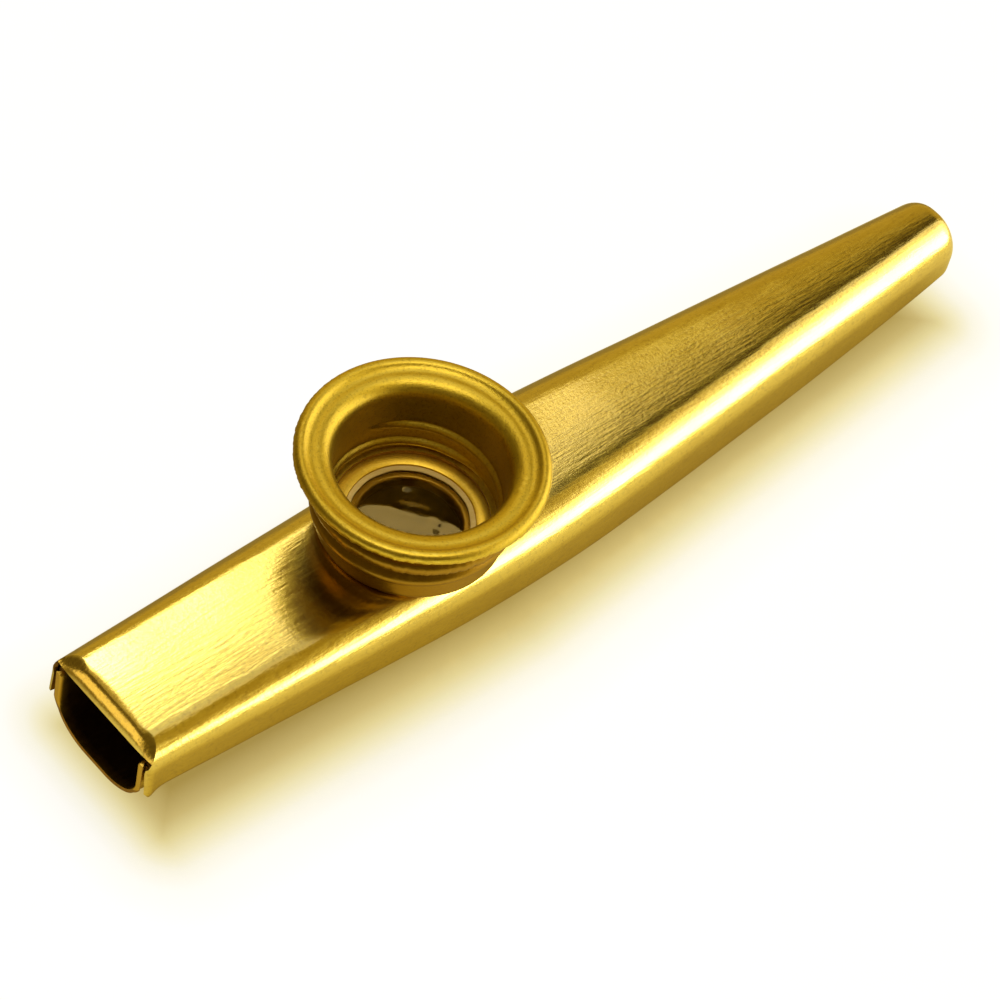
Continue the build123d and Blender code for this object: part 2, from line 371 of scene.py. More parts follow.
def turned_grain(tree, around, across):
    """Coordinates that change around times round the turret axis and quickly across it."""
    centred = vector_node(tree, "SUBTRACT", object_coords(tree), (TURRET_X * MM, 0, 0))
    flat = vector_node(tree, "MULTIPLY", centred, (1, 1, 0))
    depth = math_node(tree, "ADD", vector_node(tree, "LENGTH", flat), axes(tree, centred)["Z"])
    place = tree.nodes.new("ShaderNodeCombineXYZ")
    link(tree, math_node(tree, "MULTIPLY", depth, across), place.inputs["Z"])
    spread = vector_node(tree, "MULTIPLY", vector_node(tree, "NORMALIZE", flat), (around, around, around))
    return vector_node(tree, "ADD", spread, place.outputs[0])


def noise_of(tree, vector, scale, detail, roughness):
    node = tree.nodes.new("ShaderNodeTexNoise")
    node.inputs["Scale"].default_value = scale
    node.inputs["Detail"].default_value = detail
    node.inputs["Roughness"].default_value = roughness
    link(tree, vector, node.inputs["Vector"])
    return node.outputs["Fac"]


def remap(tree, value, low, high, to_low, to_high):
    node = tree.nodes.new("ShaderNodeMapRange")
    node.inputs["From Min"].default_value = low
    node.inputs["From Max"].default_value = high
    node.inputs["To Min"].default_value = to_low
    node.inputs["To Max"].default_value = to_high
    link(tree, value, node.inputs["Value"])
    return node.outputs["Result"]


def mix_colour(tree, factor, a, b):
    node = tree.nodes.new("ShaderNodeMix")
    node.data_type = "RGBA"
    for socket, value in (("A", a), ("B", b)):
        target = [s for s in node.inputs if s.name == socket and s.type == "RGBA"][0]
        if isinstance(value, tuple):
            target.default_value = (*value, 1)
        else:
            link(tree, value, target)
    link(tree, factor, node.inputs["Factor"])
    return [s for s in node.outputs if s.type == "RGBA"][0]


def colour_ramp(tree, factor, stops):
    """A colour ramp. The first stop is at 0 and the last at 1."""
    node = tree.nodes.new("ShaderNodeValToRGB")
    link(tree, factor, node.inputs["Fac"])
    elements = node.color_ramp.elements
    for place, colour in stops[1:-1]:
        elements.new(place).color = (*colour, 1)
    elements[0].color = (*stops[0][1], 1)
    elements[-1].color = (*stops[-1][1], 1)
    return node.outputs["Color"]


def hairlines(tree, vector, width, mask_scale):
    """Thin lines along the level curve of a stretched noise, kept only in scattered patches."""
    value = noise_of(tree, vector, 1.0, 1.0, 0.4)
    level = math_node(tree, "ABSOLUTE", math_node(tree, "SUBTRACT", value, 0.5))
    lines = remap(tree, level, 0.0, width, 1, 0)
    patch = remap(tree, noise_of(tree, object_coords(tree), mask_scale, 2.0, 0.6), 0.66, 0.74, 0, 1)
    return math_node(tree, "MULTIPLY", lines, patch)


def bump_chain(tree, bsdf, heights):
    """Stacks several height fields, each with its own depth in millimetres, for the metal and its lacquer."""
    last = None
    for height, depth in heights:
        node = tree.nodes.new("ShaderNodeBump")
        node.inputs["Strength"].default_value = 1.0
        node.inputs["Distance"].default_value = depth * MM
        link(tree, height, node.inputs["Height"])
        if last is not None:
            link(tree, last, node.inputs["Normal"])
        last = node.outputs["Normal"]
    link(tree, last, bsdf.inputs["Normal"])
    link(tree, last, bsdf.inputs["Coat Normal"])


# Materials
GOLD = (0.61, 0.445, 0.055)
GOLD_DEEP = (0.54, 0.375, 0.038)
GOLD_PALE = (0.70, 0.54, 0.10)
# Dark brown for the pebbled speckles, and for painted shade in hollows and low in the cap's throat
TARNISH_AND_SHADE = (0.20, 0.10, 0.012)
PLAIN = (1.0, 1.0, 1.0)
# The cap's own less bluish gold, brightened above the body's gold as painted light
CAP_HUE_AND_PAINTED_LIGHT = (1.12, 1.11, 0.80)
# Painted shade: darkens the collar's gold and makes it more orange
PAINTED_SHADE_TINT = (0.58, 0.45, 0.22)
# Painted light: brightens and yellows the washer's gold
PAINTED_LIGHT_TINT = (1.2, 1.08, 0.7)
# Heights over which painted shade darkens the cap's throat
THROAT_TOP = TOP + 10.0
THROAT_DEEP = TOP + 7.0


def tinted(colour, tint):
    return tuple(c * t for c, t in zip(colour, tint))


def gold_metal(name, grain, scratches, tint, rough, grain_depth, pebble_scale, pebble_depth, coat, speckle,
               throat=0.0):
    """Gold lacquered sheet: drawn grain, cloudy tone, pebbled satin with dark speckles, hairline scratches,
    rubbed edges, and painted shade in hollows and crevices.

    throat is the share of painted shade that darkens the cap low down in its throat.
    """
    material, tree, bsdf = new_material(name)
    place = object_coords(tree)
    fine = noise_of(tree, grain(tree), 1.0, 3.0, 0.55)
    cloud = noise_of(tree, place, 60.0, 3.0, 0.5)
    smear = noise_of(tree, place, 190.0, 3.0, 0.6)
    pebble = noise_of(tree, place, pebble_scale, 2.0, 0.65)
    dents = noise_of(tree, place, 110.0, 1.0, 0.4)
    scratch = scratches(tree)
    pale = tinted(GOLD_PALE, tint)
    tone = mix_colour(tree, remap(tree, cloud, 0.35, 0.7, 0, 1), tinted(GOLD, tint), tinted(GOLD_DEEP, tint))
    tone = mix_colour(tree, remap(tree, fine, 0.45, 0.75, 0, 0.35), tone, pale)
    sharpness = tree.nodes.new("ShaderNodeNewGeometry").outputs["Pointiness"]
    tone = mix_colour(tree, remap(tree, sharpness, 0.53, 0.62, 0, 0.7), tone, pale)
    # Painted shade: hollows and crevices darkened towards dark brown
    tone = mix_colour(tree, remap(tree, sharpness, 0.49, 0.42, 0, 0.75), tone, TARNISH_AND_SHADE)
    tone = mix_colour(tree, remap(tree, pebble, 0.48, 0.30, 0, speckle), tone, TARNISH_AND_SHADE)
    tone = mix_colour(tree, math_node(tree, "MULTIPLY", scratch, 0.3), tone, pale)
    if throat:
        # Painted shade: darker lower down in the cap's throat
        throat_shade = remap(tree, axes(tree, place)["Z"], THROAT_TOP * MM, THROAT_DEEP * MM, 0, throat)
        tone = mix_colour(tree, throat_shade, tone, TARNISH_AND_SHADE)
    link(tree, tone, bsdf.inputs["Base Color"])
    bsdf.inputs["Metallic"].default_value = 1.0
    along_grain = remap(tree, fine, 0.3, 0.7, rough - 0.03, rough + 0.03)
    smeared = math_node(tree, "ADD", along_grain, remap(tree, smear, 0.4, 0.75, 0, 0.05))
    scuffed = math_node(tree, "ADD", smeared, math_node(tree, "MULTIPLY", scratch, 0.07))
    link(tree, scuffed, bsdf.inputs["Roughness"])
    bsdf.inputs["Coat Weight"].default_value = coat
    bsdf.inputs["Coat Roughness"].default_value = 0.15
    bsdf.inputs["Coat IOR"].default_value = 1.8
    bump_chain(tree, bsdf, [
        (dents, 0.006),
        (fine, grain_depth),
        (pebble, pebble_depth),
        (scratch, -0.0008),
    ])
    return material


def lengthwise(tree):
    return straight_grain(tree, 0, (330, 2900, 2900))


def body_scratches(tree):
    along_body = hairlines(tree, straight_grain(tree, 5, (35, 1900, 60)), 0.008, 170.0)
    crossing = hairlines(tree, straight_grain(tree, 62, (60, 2300, 80)), 0.006, 240.0)
    return math_node(tree, "MAXIMUM", along_body, crossing)


def round_grain(tree):
    return turned_grain(tree, 9.0, 5200.0)


def turned_scratches(tree):
    return hairlines(tree, turned_grain(tree, 34.0, 160.0), 0.012, 130.0)


body_gold = gold_metal(
    "gold_body", lengthwise, body_scratches, PLAIN, rough=0.20, grain_depth=0.022,
    pebble_scale=2300.0, pebble_depth=0.010, coat=0.65, speckle=0.25)
lower_gold = gold_metal(
    "gold_lower", lengthwise, body_scratches, PLAIN, rough=0.27, grain_depth=0.018,
    pebble_scale=2300.0, pebble_depth=0.008, coat=0.5, speckle=0.25)
# The collar's gold is darkened as painted shade
collar_gold = gold_metal(
    "gold_turret", round_grain, turned_scratches, PAINTED_SHADE_TINT, rough=0.34, grain_depth=0.006,
    pebble_scale=3600.0, pebble_depth=0.016, coat=0.1, speckle=0.3)
# The cap's gold: its own hue, and brightened as painted light
cap_gold = gold_metal(
    "gold_cap", round_grain, turned_scratches, CAP_HUE_AND_PAINTED_LIGHT, rough=0.37, grain_depth=0.006,
    pebble_scale=3600.0, pebble_depth=0.028, coat=0.1, speckle=0.35, throat=0.27)
# The washer's gold is brightened as painted light
washer_gold = gold_metal(
    "gold_washer", round_grain, turned_scratches, PAINTED_LIGHT_TINT, rough=0.36, grain_depth=0.006,
    pebble_scale=3600.0, pebble_depth=0.006, coat=0.1, speckle=0.2)


def inside_material():
    """Bare inside of the sheet, dull, with drawn grain and stains, painted dark brown as shade except close
    to the mouth, where it is gold.
    """
    material, tree, bsdf = new_material("dull_shaded_inside")
    fine = noise_of(tree, lengthwise(tree), 1.0, 3.0, 0.6)
    stain = noise_of(tree, object_coords(tree), 120.0, 3.0, 0.6)
    # Painted shade: the inside's tones are dark brown
    tone = mix_colour(tree, remap(tree, stain, 0.35, 0.7, 0, 1), (0.20, 0.105, 0.022), (0.11, 0.055, 0.014))
    tone = mix_colour(tree, remap(tree, fine, 0.45, 0.75, 0, 0.4), tone, (0.27, 0.16, 0.045))
    x = axes(tree, object_coords(tree))["X"]
    # The painted shade ends at the mouth: the inside turns gold within about a millimetre of it
    at_mouth = remap(tree, x, (MOUTH_X + 0.3) * MM, (MOUTH_X + 1.3) * MM, 0.9, 0)
    link(tree, mix_colour(tree, at_mouth, tone, (0.56, 0.36, 0.05)), bsdf.inputs["Base Color"])
    bsdf.inputs["Metallic"].default_value = 1.0
    link(tree, remap(tree, fine, 0.3, 0.7, 0.36, 0.5), bsdf.inputs["Roughness"])
    bump_chain(tree, bsdf, [(fine, 0.010)])
    return material


def cut_edge_material():
    """Raw edge of the cut sheet, brown and uneven."""
    material, tree, bsdf = new_material("cut_edge")
    nick = noise_of(tree, object_coords(tree), 2600.0, 3.0, 0.6)
    stain = noise_of(tree, object_coords(tree), 400.0, 2.0, 0.5)
    tone = mix_colour(tree, remap(tree, stain, 0.35, 0.7, 0, 1), (0.30, 0.16, 0.03), (0.20, 0.095, 0.018))
    tone = mix_colour(tree, remap(tree, nick, 0.5, 0.75, 0, 0.6), tone, (0.45, 0.28, 0.07))
    link(tree, tone, bsdf.inputs["Base Color"])
    bsdf.inputs["Metallic"].default_value = 1.0
    link(tree, remap(tree, nick, 0.3, 0.7, 0.38, 0.55), bsdf.inputs["Roughness"])
    bump_chain(tree, bsdf, [(nick, 0.012)])
    return material


def ring_material():
    """Pale fibre ring with faint stains."""
    material, tree, bsdf = new_material("pale_ring")
    fibre = noise_of(tree, straight_grain(tree, 25, (900, 2600, 900)), 1.0, 3.0, 0.6)
    stain = noise_of(tree, object_coords(tree), 180.0, 2.0, 0.5)
    tone = mix_colour(tree, remap(tree, stain, 0.35, 0.7, 0, 1), (0.80, 0.60, 0.22), (0.66, 0.47, 0.15))
    tone = mix_colour(tree, remap(tree, fibre, 0.4, 0.7, 0, 0.5), tone, (0.86, 0.70, 0.32))
    link(tree, tone, bsdf.inputs["Base Color"])
    link(tree, remap(tree, fibre, 0.3, 0.7, 0.5, 0.75), bsdf.inputs["Roughness"])
    bsdf.inputs["Specular IOR Level"].default_value = 0.2
    bump_chain(tree, bsdf, [(fibre, 0.015)])
    return material


def film_material():
    """Thin clear film with faint creases, a patchy haze and a painted gold tint on its reflections."""
    material, tree, bsdf = new_material("clear_film")
    crease = noise_of(tree, straight_grain(tree, 30, (240, 700, 300)), 1.0, 2.0, 0.5)
    haze = noise_of(tree, object_coords(tree), 320.0, 3.0, 0.6)
    link(tree, mix_colour(tree, haze, (0.97, 0.94, 0.86), (0.90, 0.85, 0.72)), bsdf.inputs["Base Color"])
    link(tree, remap(tree, haze, 0.35, 0.7, 0.02, 0.06), bsdf.inputs["Roughness"])
    bsdf.inputs["Transmission Weight"].default_value = 1.0
    bsdf.inputs["IOR"].default_value = 1.5
    # Painted reflection: the film's reflections are tinted gold
    bsdf.inputs["Specular Tint"].default_value = (1.0, 0.72, 0.22, 1)
    bump_chain(tree, bsdf, [(crease, 0.002)])
    return material


dull_shaded_inside = inside_material()
cut_edge = cut_edge_material()


# Shells
def stations(start):
    """Distances from the mouth, close together at the rounded ends."""
    first = start + END_STEPS[-1]
    last = BODY_LENGTH - END_STEPS[-1]
    between = [first + (last - first) * i / STATIONS for i in range(1, STATIONS)]
    return [start + e for e in END_STEPS] + between + [BODY_LENGTH - e for e in reversed(END_STEPS)]


def edge_turn(d, radius):
    """How far a sheet is turned aside where its front edge is rounded."""
    u = max(0.0, 1 - d / radius)
    return radius * (1 - math.sqrt(max(0.0, 1 - u * u)))


def spread_at_mouth(points, d):
    """Spreads the walls of the upper shell a little at the mouth and rounds their front edge inward."""
    flare = max(0.0, 1 - d / MOUTH_FLARE) ** 2
    turn = edge_turn(d, MOUTH_EDGE)
    wall_top = TOP - FLARE_BELOW_TOP
    wall_end = seam_z(d)
    out = []
    for y, z in points:
        below = min(max((wall_top - z) / (wall_top - wall_end), 0.0), 1.0)
        turned_in = turn * min(1.0, 3 * below)
        out.append((y + WALL_SPREAD * flare * below - turned_in, z - WALL_LOWERED * flare * below))
    return out


def tail_pull(d):
    """How far the skin is drawn in at the rounded tail end."""
    u = max(0.0, (d - BODY_LENGTH + TAIL_ROUNDING) / TAIL_ROUNDING)
    return TAIL_DRAW * (1 - math.sqrt(max(0.0, 1 - u * u)))


def drawn_in(points, d):
    """Draws a section in towards the middle of the tail."""
    pull = tail_pull(d)
    if pull == 0.0:
        return points
    middle = TOP - TAIL_DEPTH / 2
    scale_y = 1 - pull / (TAIL_WIDTH / 2)
    scale_z = 1 - pull / (TAIL_DEPTH / 2)
    return [(y * scale_y, middle + (z - middle) * scale_z) for y, z in points]


def upper_path(d):
    """Outer skin of the upper shell from the middle of the top to the end of the seam hook."""
    side = half_width(d)
    seam = seam_z(d)
    reach, drop = shoulder(d)
    roll_z = seam + SEAM_ROLL
    hook_side = side - 2 * SEAM_ROLL
    hook_end = seam + seam_hook(d) - SEAM_ROLL - SEAM_PLAY
    flat = side - reach
    points = [(y, z - TOP_CROWN * y * y / flat) for y, z in line((0, TOP), (flat, TOP), FLAT_STEPS)]
    crown = TOP_CROWN * flat / drop
    rounding = arc((flat, TOP - drop), reach, drop, 90, -90, SHOULDER_STEPS)
    points += [(y, z - crown * (z - TOP + drop)) for y, z in rounding]
    points += line((side, TOP - drop), (side, roll_z), WALL_STEPS)
    points += arc((side - SEAM_ROLL, roll_z), SEAM_ROLL, SEAM_ROLL, 0, -180, ROLL_STEPS)
    points += line((hook_side, roll_z), (hook_side, hook_end), HOOK_STEPS)
    points.append((hook_side, hook_end))
    return drawn_in(spread_at_mouth(points, d), d)


def lower_path(d):
    """Outer skin of the lower shell from the middle of the belly to the end of its hook."""
    side = half_width(d)
    seam = seam_z(d)
    belly = belly_z(d)
    flat = floor_half(d)
    wall = side - 2 * SEAM_ROLL - SEAM_PLAY
    fold = (side - SHEET - SEAM_PLAY - SEAM_ROLL, seam + seam_hook(d) - SEAM_ROLL)
    inner = SEAM_ROLL - SHEET
    hook_side = fold[0] + inner
    hook_end = seam + SEAM_ROLL + SEAM_PLAY
    points = line((0, belly), (flat, belly), FLOOR_STEPS)
    points += arc((flat, seam), wall - flat, seam - belly, -90, 90, TROUGH_STEPS)
    points += line((wall, seam), (wall, fold[1]), INNER_WALL_STEPS)
    points += arc(fold, inner, inner, 180, -180, FOLD_STEPS)
    points += line((hook_side, fold[1]), (hook_side, hook_end), HOOK_STEPS)
    points.append((hook_side, hook_end))
    tab = edge_turn(d, TAB_TURN)
    turned = []
    for j, (y, z) in enumerate(points):
        share = min(max((j - TAB_FIRST_ROW) / TAB_ROWS, 0.0), 1.0) if j <= TAB_LAST_ROW else 0.0
        turned.append((y + tab * share, max(z, 0.0)))
    return drawn_in(turned, d)


def lip_start(z):
    """Distance from the mouth of the turned-down lip at a height, in the middle of the mouth."""
    below = TOP - z
    if below >= LIP_RADIUS:
        return max(0.0, LIP_SETBACK * (1 - (below - LIP_RADIUS) / LIP_END))
    return LIP_SETBACK + LIP_RADIUS - math.sqrt(LIP_RADIUS ** 2 - (LIP_RADIUS - below) ** 2)


def lip_corner(z):
    """Distance from the mouth at which the bend of the lip crosses the shoulder, rounded seen from above."""
    below = TOP - z
    if below >= LIP_RADIUS:
        return lip_start(z)
    across = (1 - (1 - below / MOUTH_SHOULDER) ** 2) / (1 - (1 - LIP_RADIUS / MOUTH_SHOULDER) ** 2)
    return LIP_SETBACK + LIP_RADIUS * max(0.0, 1 - across) ** LIP_CORNER_POWER


def front_edge(path, j):
    """Distance from the mouth at which a row of a shell starts: behind the lip, or set back in the seam."""
    if path is upper_path:
        in_seam = min(max((j - UPPER_ROLL_ROW) / SETBACK_ROWS, 0.0), 1.0)
        return max(lip_corner(path(0)[j][1]), SEAM_SETBACK * in_seam)
    return SEAM_SETBACK if j > TAB_LAST_ROW else 0.0


def uneven(co):
    """Small unevenness of pressed sheet, in millimetres."""
    return UNEVENNESS * noise.noise(Vector(co) * UNEVEN_SCALE)


def bridge(bm, rows):
    """Faces between neighbouring rows of vertices."""
    for a, b in zip(rows, rows[1:]):
        for i in range(len(a) - 1):
            bm.faces.new((a[i], a[i + 1], b[i + 1], b[i]))


def shell_mesh(path, uneven_height):
    """Sweeps a half path along the body and mirrors it. Returns the mesh and its vertex rows."""
    bm = bmesh.new()
    last = len(path(0)) - 1
    rows = []
    for index in range(-last, last + 1):
        j = abs(index)
        sign = -1 if index < 0 else 1
        row = []
        for d in stations(front_edge(path, j)):
            y, z = path(d)[j]
            x = MOUTH_X + d
            ease = min(d, BODY_LENGTH - d, EVEN_END) / EVEN_END
            lift = uneven((x, sign * y, z)) * ease if z > REST_STRIP else 0.0
            height = z + lift if uneven_height else z
            row.append(bm.verts.new((x * MM, (sign * y + UNEVEN_SIDEWAYS * lift) * MM, height * MM)))
        rows.append(row)
    bridge(bm, rows)
    return bm, rows


def add_lip(bm, rows):
    """Adds the turned-down lip to the front of the top, in strips from side to side."""
    middle = len(rows) // 2
    mouth = upper_path(0)
    last = max(j for j in range(middle + 1) if TOP - mouth[j][1] < LIP_RADIUS)
    strips = [[rows[middle + k][0] for k in range(-FLAT_STEPS, FLAT_STEPS + 1)]]
    for j in range(FLAT_STEPS + 1, last + 1):
        left = rows[middle - j][0]
        right = rows[middle + j][0]
        middle_x = (MOUTH_X + lip_start(mouth[j][1])) * MM
        strip = [left]
        for k in range(-FLAT_STEPS + 1, FLAT_STEPS):
            spot = left.co.lerp(right.co, (k + FLAT_STEPS) / (2 * FLAT_STEPS))
            to_corner = max(0.0, (abs(k) / FLAT_STEPS - LIP_CORNER_FROM) / (1 - LIP_CORNER_FROM)) ** 2
            spot.x = middle_x + (spot.x - middle_x) * to_corner
            strip.append(bm.verts.new(spot))
        strips.append(strip + [right])
    bridge(bm, strips)


def cut_plate_hole(bm):
    """Opens the hole for the collar in the flat top, with its edge drawn to a circle."""
    centre = Vector((TURRET_X * MM, 0))
    radius = PLATE_HOLE * MM
    snap = 0.35 * MM
    lowest = (TOP - 1.0) * MM
    for v in bm.verts:
        from_axis = v.co.xy - centre
        if v.co.z > lowest and abs(from_axis.length - radius) < snap:
            v.co.x, v.co.y = centre + from_axis.normalized() * radius
    inside = []
    for f in bm.faces:
        spot = f.calc_center_median()
        if spot.z > lowest and (spot.xy - centre).length < radius:
            inside.append(f)
    bmesh.ops.delete(bm, geom=inside, context="FACES")


def make_upper_shell():
    bm, rows = shell_mesh(upper_path, True)
    add_lip(bm, rows)
    cut_plate_hole(bm)
    face_outward(bm, True)
    obj = new_object("upper_shell_sheet", bm, "body", "gold_body", "upper_shell",
                     body_gold, dull_shaded_inside, cut_edge)
    thicken(obj, -1, BODY_EDGE)


def make_lower_shell():
    bm = shell_mesh(lower_path, False)[0]
    face_outward(bm, False)
    obj = new_object("lower_shell_sheet", bm, "body", "gold_body", "lower_shell",
                     lower_gold, dull_shaded_inside, cut_edge)
    thicken(obj, -1, LOWER_EDGE)


# Turned pieces
def lathe(profile_at):
    """Turns a profile about the turret axis. profile_at(angle) gives (radius, height) points."""
    bm = bmesh.new()
    columns = []
    for i in range(TURN_STEPS):
        a = 2 * math.pi * i / TURN_STEPS
        c, s = math.cos(a), math.sin(a)
        column = []
        for r, z in profile_at(a):
            column.append(bm.verts.new(((TURRET_X + r * c) * MM, r * s * MM, (TOP + z) * MM)))
        columns.append(column)
    for i in range(TURN_STEPS):
        a = columns[i]
        b = columns[(i + 1) % TURN_STEPS]
        for k in range(len(a) - 1):
            bm.faces.new((a[k], b[k], b[k + 1], a[k + 1]))
    return bm


def hump(u):
    """Rounded ridge: 1 in the middle, 0 from u = -1 and u = 1 outward."""
    return (1 - u * u) ** 2 if abs(u) < 1 else 0.0


def thread_turn(a):
    """Turns round the axis, from -0.5 to 0.5, counted from the direction of the thread's phase."""
    t = (a - THREAD_PHASE) / (2 * math.pi)
    return t - math.floor(t + 0.5)


def helix(a, z, middle, half, turns):
    """Height of a helical ridge, 0 to 1, running turns long about a middle height."""
    t = thread_turn(a)
    best = 0.0
    for k in range(-2, 3):
        along_thread = t + k
        if abs(along_thread) > turns / 2:
            continue
        fade = min(1.0, (turns / 2 - abs(along_thread)) / THREAD_FADE)
        best = max(best, fade * hump((z - middle - THREAD_PITCH * along_thread) / half))
    return best


def ragged(a, teeth, seed):
    """Unevenness of a raw cut edge round the axis, between about -1 and 1."""
    c, s = math.cos(a), math.sin(a)
    fine = noise.noise(Vector((c * teeth, s * teeth, seed)))
    slow = noise.noise(Vector((c * 2.2, s * 2.2, seed + 5)))
    return 0.7 * fine * (1 + 1.2 * slow) + 0.5 * slow


def rolled_rim(centre, radius, start, sweep, steps):
    """Points on a rolled rim, with its raw edge as the last one."""
    edge = math.radians(start + sweep)
    points = arc(centre, radius, radius, start, sweep, steps)
    points.append((centre[0] + radius * math.cos(edge), centre[1] + radius * math.sin(edge)))
    return points


def crimped(points, a, teeth, seed, depth):
    """Crinkles the last half of a rolled rim, more towards its raw edge."""
    wave = depth * ragged(a, teeth, seed)
    middle = len(points) // 2
    out = points[:middle]
    for k, (r, z) in enumerate(points[middle:]):
        share = k / (len(points) - middle - 1)
        out.append((r + wave * share ** 2, z + 0.5 * wave * share ** 2))
    return out


def collar_profile(a):
    """Middle of the collar's sheet from the rivet flange, over the plate and up the wall, to the rim."""
    half = SHEET / 2
    wall = COLLAR_BORE + half
    rivet = RIVET_BORE + half
    bend = COLLAR_BEND - half
    rim = COLLAR_RIM - half
    rim_z = COLLAR_HEIGHT - COLLAR_RIM
    foot = RIVET_FOOT_BEND
    foot_z = RIVET_FLANGE_Z + foot
    top = RIVET_TOP_BEND
    points = line((RIVET_FLANGE, RIVET_FLANGE_Z), (rivet + foot, RIVET_FLANGE_Z), 3)
    points += arc((rivet + foot, foot_z), foot, foot, 270, -90, 4)
    points += line((rivet, foot_z), (rivet, half - top), 3)
    points += arc((rivet + top, half - top), top, top, 180, -90, 3)
    points += line((rivet + top, half), (wall - bend, half), 8)
    points += arc((wall - bend, half + bend), bend, bend, 270, 90, 6)
    low = half + bend
    for i in range(COLLAR_WALL_STEPS):
        z = low + (rim_z - low) * i / COLLAR_WALL_STEPS
        ridge = helix(a, z, COLLAR_RIDGE_Z, COLLAR_RIDGE_HALF, COLLAR_RIDGE_TURNS)
        points.append((wall + COLLAR_RIDGE_DEPTH * ridge, z))
    turn = COLLAR_RIM_TURN + 26 * ragged(a, teeth=15, seed=2.0)
    roll = rolled_rim((wall + rim, rim_z), rim, 180, -turn, 22)
    return points + crimped(roll, a, teeth=34, seed=11.0, depth=0.28)


def cap_profile(a):
    """Middle of the cap's sheet from the hole in its bottom, up the wall and over the throat, to the bead."""
    half = SHEET / 2
    wall = CAP_WALL_OUT - half
    corner = CAP_CORNER - half
    bottom_z = CAP_BASE + half
    dip = math.radians(RIM_DIP)
    rise = math.radians(RIM_RISE)
    bead_z = COLLAR_HEIGHT + CAP_STAND - RIM_BEAD
    valley_z = bead_z + (RIM_BEAD + RIM_VALLEY) * math.cos(rise)
    throat_z = valley_z - (RIM_VALLEY + THROAT_ROLL) * math.cos(dip)
    throat_r = CAP_WALL_OUT - SHEET + THROAT_ROLL
    valley_r = throat_r + (RIM_VALLEY + THROAT_ROLL) * math.sin(dip)
    bead_r = valley_r + (RIM_BEAD + RIM_VALLEY) * math.sin(rise)
    roll = THROAT_ROLL - half
    valley = RIM_VALLEY + half
    points = line((CAP_HOLE, bottom_z), (wall - corner, bottom_z), 6)
    points += arc((wall - corner, bottom_z + corner), corner, corner, 270, 90, 6)
    low = CAP_BASE + CAP_CORNER
    middle = low + THREAD_HALF + THREAD_PITCH / 2
    for i in range(CAP_WALL_STEPS):
        z = low + (throat_z - low) * i / CAP_WALL_STEPS
        ridge = helix(a, z, middle, THREAD_HALF, THREAD_TURNS)
        points.append((wall - THREAD_DEPTH * ridge, z))
    points += arc((throat_r, throat_z), roll, roll, 180, -90 - RIM_DIP, 18)
    points += arc((valley_r, valley_z), valley, valley, 270 - RIM_DIP, RIM_DIP + RIM_RISE, 12)
    turn = RIM_BEAD_TURN + 30 * ragged(a, teeth=17, seed=7.0)
    bead = rolled_rim((bead_r, bead_z), RIM_BEAD - half, 90 + RIM_RISE, -turn, 24)
    return points + crimped(bead, a, teeth=38, seed=15.0, depth=0.26)


def make_collar():
    obj = new_object("turret_collar_sheet", lathe(collar_profile), "body", "gold_turret", "turret_collar",
                     collar_gold, collar_gold, cut_edge)
    thicken(obj, 0, TURNED_EDGE)


def make_cap():
    obj = new_object("screw_cap_sheet", lathe(cap_profile), "cap", "gold_cap", "screw_cap",
                     cap_gold, cap_gold, cut_edge)
    thicken(obj, 0, TURNED_EDGE)


def flat_ring(bore, heights, waver):
    """A flat ring with softened edges and a bore that is not quite round."""
    low, high = heights
    outer = MEMBRANE_RADIUS
    edge = RING_EDGE

    def profile(a):
        inner = bore + waver * math.sin(9 * a + 1.0) * math.sin(4 * a)
        return [(inner, low), (inner, high - edge), (inner + edge, high), (outer - edge, high),
                (outer, high - edge), (outer, low), (inner, low)]

    bm = lathe(profile)
    bmesh.ops.remove_doubles(bm, verts=bm.verts, dist=1e-7)
    bmesh.ops.recalc_face_normals(bm, faces=bm.faces)
    return bm


def make_ring():
    bm = flat_ring(RING_BORE, RING_Z, 0.05)
    new_object("membrane_ring_disc", bm, "membrane", "pale_ring", "membrane_ring", ring_material())


def make_washer():
    bm = flat_ring(WASHER_BORE, WASHER_Z, 0.015)
    new_object("retaining_washer_disc", bm, "membrane", "gold_washer", "retaining_washer", washer_gold)


def film_height(x, y, level):
    """Height of a skin of the film: shallow creases, folds and a blister where it spans the collar's hole."""
    slack = max(0.0, 1 - (math.hypot(x, y) / FILM_FREE_RADIUS) ** 2)
    long_crease = noise.noise(Vector((x * 0.22 + 3, y * 0.55, 1.7)))
    short_crease = noise.noise(Vector((x * 0.7, y * 0.5, 4.2)))
    crease = FILM_CREASE * (long_crease + 0.5 * short_crease)
    folds = 0.0
    for depth, across, offset, half in FILM_FOLDS:
        folds += depth * hump((across[0] * x + across[1] * y - offset) / half)
    from_blister = math.hypot(x - BLISTER_PLACE[0], y - BLISTER_PLACE[1])
    blister = BLISTER_HEIGHT * hump(from_blister / BLISTER_RADIUS)
    return TOP + level - slack * (crease - folds) + blister * min(1.0, 3 * slack)


